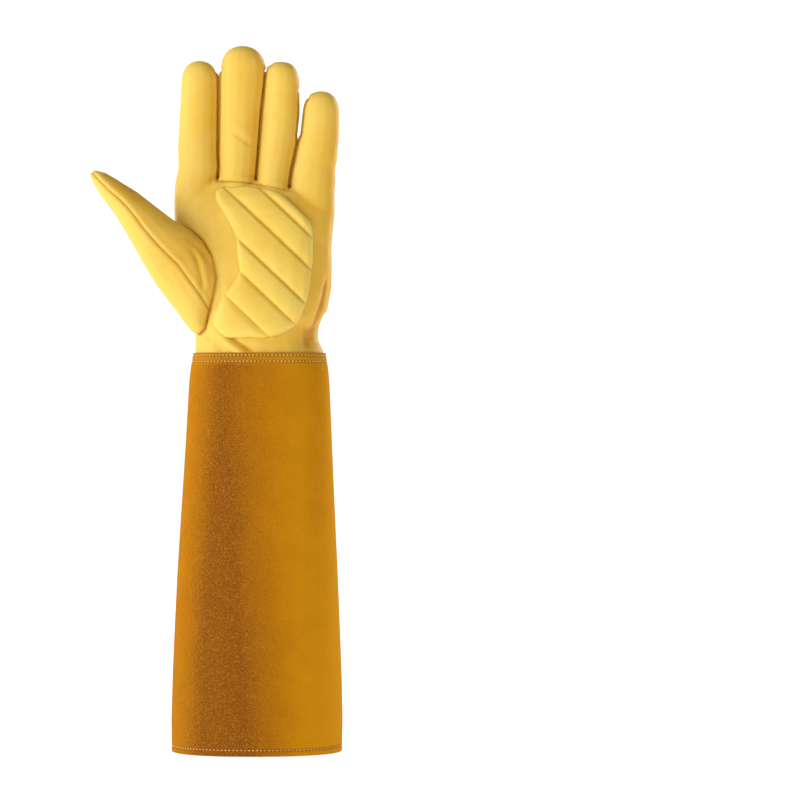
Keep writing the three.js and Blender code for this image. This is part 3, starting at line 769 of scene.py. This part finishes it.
# Painted shade in the quilting channels, and paler puffs between them as a painted highlight.
keep_value(pad, "hollow", hollows(pad, 60))
use(pad)
bpy.ops.object.shade_smooth()
pad_leather = leather("pad leather", (0.78, 0.55, 0.1), (0.71, 0.41, 0.025), (0.44, 0.2, 0.015))
pad.data.materials.append(pad_leather)
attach(pad, "root")
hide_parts("palm_pad")

# Welt of the index seam
# A thin strip of leather rolled and caught in the seam between the back and the palm, so the seam
# stands up as a fine dark cord from the wrist to the fingertip.
welt_cloud, welt_fibre, welt_fibre_depth = 3 * mm, 0.6 * mm, 0.15 * mm
welt = copy_of(["index_seam_welt"], "index_seam_welt_roll")
finish_with(welt, "SUBSURF", levels=2, render_levels=2)
use(welt)
bpy.ops.object.shade_smooth()
welt_finish = Finish("welt leather")
welt_tone = welt_finish.spread(welt_finish.grain(welt_cloud, 3), 0.3, 0.7)
welt_colour = welt_finish.mix(welt_tone, (0.5, 0.3, 0.05), (0.36, 0.18, 0.025))
welt_finish.set(Base_Color=welt_colour, Roughness=0.6)
welt_finish.set(Normal=welt_finish.bump(welt_finish.grain(welt_fibre, 3), 0.3, welt_fibre_depth))
welt.data.materials.append(welt_finish.material)
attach(welt, "root")
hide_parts("index_seam_welt")

# Sleeve
# A long flared tube of split suede, its top edge turned in and sewn over the hand by two rows of
# stitches, and its hem turned in and sewn with one. It is a ring of points extruded up the outside
# and down the inside, so its wall is closed and its mouth is open. Its sizes are in mm.
sleeve_length = 262.0
suede_wall = 1.8
sleeve_columns = 240
hem_turn = 6.0
top_turn = 8.0
turn_thickness = 0.6
# How square the sleeve is seen from above: 2 would be a plain oval
sleeve_square = 2.3
# How much of the flare is there at each share of the length, from the hem up
sleeve_profile = (
    (0, 0.985),
    (0.08, 1),
    (0.2, 0.915),
    (0.44, 0.68),
    (0.68, 0.405),
    (0.92, 0.135),
    (1, 0),
)
mouth_half = 56.3
mouth_deep = 50.0
rim_drawn_in, rim_drawn_reach = 0.9, 9
sleeve_solid = points_of(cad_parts["sleeve"]) / mm
top_ring = sleeve_solid[sleeve_solid[:, 2] > sleeve_length - 2]
rim_x = (top_ring[:, 0].max() + top_ring[:, 0].min()) / 2
rim_half = np.ptp(top_ring[:, 0]) / 2
rim_deep = np.ptp(top_ring[:, 1]) / 2
# Each row of the ring's points is a height and an inset from the outside, close together near the
# stitches: up the outside, over the top edge, down the inside and round the hem.
doubled_wall = suede_wall + turn_thickness
near_hem = (0.0, 0.25, 0.7, 1.3, 2.0, 2.8, 3.6, 4.4, 5.2, 6.2, 7.4, 8.8)
near_top = (11, 9.8, 8.6, 7.6, 6.6, 5.6, 4.6, 3.6, 2.6, 1.7, 0.9, 0.3)
rows = [(height, 0.0) for height in (*near_hem, *np.arange(10.6, sleeve_length - 12, 2.0))]
rows += [(sleeve_length - below, 0.0) for below in near_top]
rows += [(sleeve_length, 0.5), (sleeve_length, 1.3), (sleeve_length - 0.4, doubled_wall)]
rows += [(sleeve_length - top_turn + 0.4, doubled_wall), (sleeve_length - top_turn, suede_wall)]
rows += [(height, suede_wall) for height in np.arange(sleeve_length - 12, 10, -4.0)]
rows += [(hem_turn, suede_wall), (hem_turn - 0.4, doubled_wall)]
rows += [(0.6, doubled_wall), (0.1, 1.6), (0.0, 0.9)]

bpy.ops.object.select_all(action="DESELECT")
bpy.ops.mesh.primitive_circle_add(vertices=sleeve_columns, radius=1, fill_type="NOTHING")
sleeve = bpy.context.object
sleeve.name = "suede_sleeve"
bpy.ops.object.mode_set(mode="EDIT")
bpy.ops.mesh.select_mode(type="VERT")
bpy.ops.mesh.select_all(action="SELECT")
for _ in rows[1:]:
    bpy.ops.mesh.extrude_region_move(TRANSFORM_OT_translate={"value": (0, 0, 1)})
bpy.ops.object.mode_set(mode="OBJECT")
ring_points = points_of(sleeve)
row = np.rint(ring_points[:, 2]).astype(int)
angle = np.arctan2(ring_points[:, 1], ring_points[:, 0])
height = np.array([rows[number][0] for number in row])
inset = np.array([rows[number][1] for number in row])


def sleeve_point(angle, height, inset):
    """A point of the sleeve at an angle and height, in mm; an inset goes in towards the middle."""
    up = np.clip(height / sleeve_length, 0, 1)
    spread = np.interp(up, *zip(*sleeve_profile))
    # Two slow waves round the sleeve let it hang a little unevenly.
    drape = 1.1 * np.sin(2 * angle + 1.1 + 2.5 * up) * np.sin(np.pi * up) * (1.1 - up)
    drape += 0.5 * np.sin(3 * angle - 4 * up) * np.sin(np.pi * up)
    drawn_in = rim_drawn_in * np.exp(-(((sleeve_length - height) / rim_drawn_reach) ** 2))
    half = rim_half + (mouth_half - rim_half) * spread - inset + drape * 0.6 - drawn_in
    deep = rim_deep + (mouth_deep - rim_deep) * spread - inset + drape - drawn_in
    power = 2 / sleeve_square
    side, face = np.cos(angle), np.sin(angle)
    return np.stack(
        (
            rim_x * up + half * np.sign(side) * np.abs(side) ** power,
            deep * np.sign(face) * np.abs(face) ** power,
            height,
        ),
        axis=-1,
    )


# Each row of stitches pulls the suede in a little.
hem_row = 4.0
lower_row = sleeve_length - 5.6
upper_row = sleeve_length - 1.6
stitch_pull, pull_reach = 0.35, 0.9
pull = np.zeros(len(ring_points))
for level in (hem_row, lower_row, upper_row):
    pull += stitch_pull * np.exp(-(((height - level) / pull_reach) ** 2))
place_points(sleeve, sleeve_point(angle, height, np.where(inset > 1, inset, inset + pull)) * mm)
keep_value(sleeve, "stitched", pull / stitch_pull)
use(sleeve)
bpy.ops.object.mode_set(mode="EDIT")
bpy.ops.mesh.select_mode(type="EDGE")
bpy.ops.mesh.select_all(action="DESELECT")
bpy.ops.mesh.select_non_manifold()
bpy.ops.mesh.bridge_edge_loops()
bpy.ops.mesh.select_all(action="SELECT")
bpy.ops.mesh.normals_make_consistent(inside=False)
bpy.ops.object.mode_set(mode="OBJECT")
bpy.ops.object.shade_smooth()

# Painted light and shade in long bands round the sleeve: a painted shade down the front's left, and
# painted highlights brighter at the sides. Each band is an angle round the sleeve at its hem, a width
# in degrees and a strength, and it leans a few degrees on its way up.
painted_light_bands = (
    (-158, 15, 0.3),
    (-109, 20, -1.8),
    (-45, 28, 1.3),
    (-4, 20, 1.6),
    (40, 24, -0.6),
    (150, 22, 0.5),
)
band_lean = 8
degrees = np.degrees(angle)
down = 1 - np.clip(height / sleeve_length, 0, 1)
# The sleeve is also a little darker towards the hem.
painted_band_tone = -0.25 * down
for middle, width, strength in painted_light_bands:
    away = (degrees - middle + band_lean * (1 - down) + 180) % 360 - 180
    reach = width * (0.9 + 0.25 * down)
    painted_band_tone += strength * (0.55 + 0.45 * down) * np.exp(-((away / reach) ** 2))
keep_value(sleeve, "painted_band_tone", painted_band_tone)
keep_value(sleeve, "turned edge", np.clip((height - sleeve_length + top_turn) / 1.5, 0, 1))

cloud_size = 22 * mm
tuft_size, tuft_depth = 0.85 * mm, 0.5 * mm
suede = Finish("suede")
# The bands' painted light and shade, with random clouds of tone; the suede's speckle is stronger in the
# painted shade.
painted_light_and_cloud = suede.attribute("painted_band_tone")
cloud = suede.spread(suede.grain(cloud_size, 5, 0.65), 0.3, 0.7, -0.16, 0.16)
painted_light_and_cloud = suede.math("ADD", painted_light_and_cloud, cloud)
suede_colour = suede.mix(suede.spread(painted_light_and_cloud, -1.2, 0), (0.22, 0.068, 0.005), (0.4, 0.148, 0.003))
suede_colour = suede.mix(suede.spread(painted_light_and_cloud, 0, 1), suede_colour, (0.6, 0.25, 0.004))
tufts = suede.grain(tuft_size, 3, 0.6)
speckle_share_by_shade = suede.spread(painted_light_and_cloud, -1, 0.5, 1, 0.25)
speckle = suede.math("MULTIPLY", suede.spread(tufts, 0.5, 0.62), speckle_share_by_shade)
suede_colour = suede.mix(suede.math("MULTIPLY", speckle, 0.45), suede_colour, (0.2, 0.055, 0.006))
glint = suede.math("MULTIPLY", suede.spread(tufts, 0.5, 0.38), speckle_share_by_shade)
suede_colour = suede.mix(suede.math("MULTIPLY", glint, 0.25), suede_colour, (0.7, 0.34, 0.03))
turned_edge = suede.math("MULTIPLY", suede.attribute("turned edge"), 0.28)
suede_colour = suede.mix(turned_edge, suede_colour, (0.62, 0.32, 0.03))
# The suede is darker along each row of stitches, where the thread pulls it in.
stitch_row_darkening = suede.math("MULTIPLY", suede.attribute("stitched"), 0.8, clamp=True)
suede_colour = suede.mix(stitch_row_darkening, suede_colour, (0.26, 0.09, 0.006))
suede_bump = suede.bump(tufts, 0.6, tuft_depth)
suede.set(Base_Color=suede_colour, Roughness=0.9, Normal=suede_bump)
suede.set(Sheen_Weight=0.03, Sheen_Roughness=0.5, Sheen_Tint=(1, 0.6, 0.1, 1), Specular_IOR_Level=0.03)
sleeve.data.materials.append(suede.material)
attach(sleeve, "root")
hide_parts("sleeve")

# Stitches of the sleeve
# Thick cotton thread, sewn by machine: two close cream rows round the top edge, which fix the sleeve
# to the hand, and one browner row round the hem. Each row is many short stitches joined in one mesh,
# and its sizes are in mm.
thread_thick = 0.46
top_pitch = 2.5
hem_pitch = 2.6
stitch_share = 0.24
thread_sink = 0.25
end_round, end_taper, flatness = 0.45, 0.25, 0.8


def stitch_row(name, level, pitch, finish):
    """Short rounded stitches round the sleeve at one height, each lying on the suede."""
    step = 0.3
    bpy.ops.object.select_all(action="DESELECT")
    bpy.ops.mesh.primitive_cylinder_add(vertices=8, radius=1, depth=2, rotation=(0, math.pi / 2, 0))
    bpy.ops.object.transform_apply(location=True, rotation=True, scale=True)
    stitch = bpy.context.object
    finish_with(stitch, "BEVEL", width=end_round, segments=2, limit_method="ANGLE")
    shape = points_of(stitch)
    faces = [tuple(face.vertices) for face in stitch.data.polygons]
    bpy.data.objects.remove(stitch)
    dense = np.linspace(-math.pi, math.pi, 2001)
    path = sleeve_point(dense, np.full(len(dense), level), np.full(len(dense), thread_sink))
    walked = np.concatenate(([0], np.cumsum(np.linalg.norm(np.diff(path, axis=0), axis=1))))
    count = round(walked[-1] / pitch)
    corners, all_faces = [], []
    for number in range(count):
        middle = walked[-1] * (number + 0.5) / count
        spot = np.array([np.interp(middle, walked, path[:, axis]) for axis in range(3)])
        ahead = np.array([np.interp(middle + step, walked, path[:, axis]) for axis in range(3)])
        along = (ahead - spot) / np.linalg.norm(ahead - spot)
        out = np.cross(along, (0, 0, 1))
        body = shape * (pitch * stitch_share, thread_thick, thread_thick)
        body[:, 2] *= 1 - end_taper * shape[:, 0] ** 2
        placed = spot + body[:, :1] * along + body[:, 1:2] * out * flatness + body[:, 2:] * (0, 0, 1)
        all_faces += [tuple(corner + len(corners) for corner in face) for face in faces]
        corners += list(placed * mm)
    mesh = bpy.data.meshes.new(name)
    mesh.from_pydata(corners, [], all_faces)
    thread = bpy.data.objects.new(name, mesh)
    bpy.context.collection.objects.link(thread)
    use(thread)
    bpy.ops.object.shade_smooth()
    mesh.materials.append(finish)
    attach(thread, "root")
    return thread


def thread_finish(name, pale, deep):
    """Matt cotton thread, a little uneven in tone, with its twist showing."""
    tone_size, twist_size, twist_depth = 9 * mm, 0.35 * mm, 0.1 * mm
    thread = Finish(name)
    tone = thread.spread(thread.grain(tone_size, 3), 0.35, 0.65)
    twist = thread.grain(twist_size, 2, 0.5, stretch=(1, 1, 3))
    thread.set(Base_Color=thread.mix(tone, pale, deep), Roughness=0.65)
    thread.set(Normal=thread.bump(twist, 0.5, twist_depth))
    thread.set(Sheen_Weight=0.05, Specular_IOR_Level=0.25)
    return thread.material


cream_thread = thread_finish("cream thread", (0.8, 0.5, 0.12), (0.68, 0.36, 0.05))
hem_thread = thread_finish("hem thread", (0.7, 0.42, 0.18), (0.55, 0.26, 0.07))
stitch_row("top_stitches_upper", upper_row, top_pitch, cream_thread)
stitch_row("top_stitches_lower", lower_row, top_pitch, cream_thread)
stitch_row("hem_stitches", hem_row, hem_pitch, hem_thread)
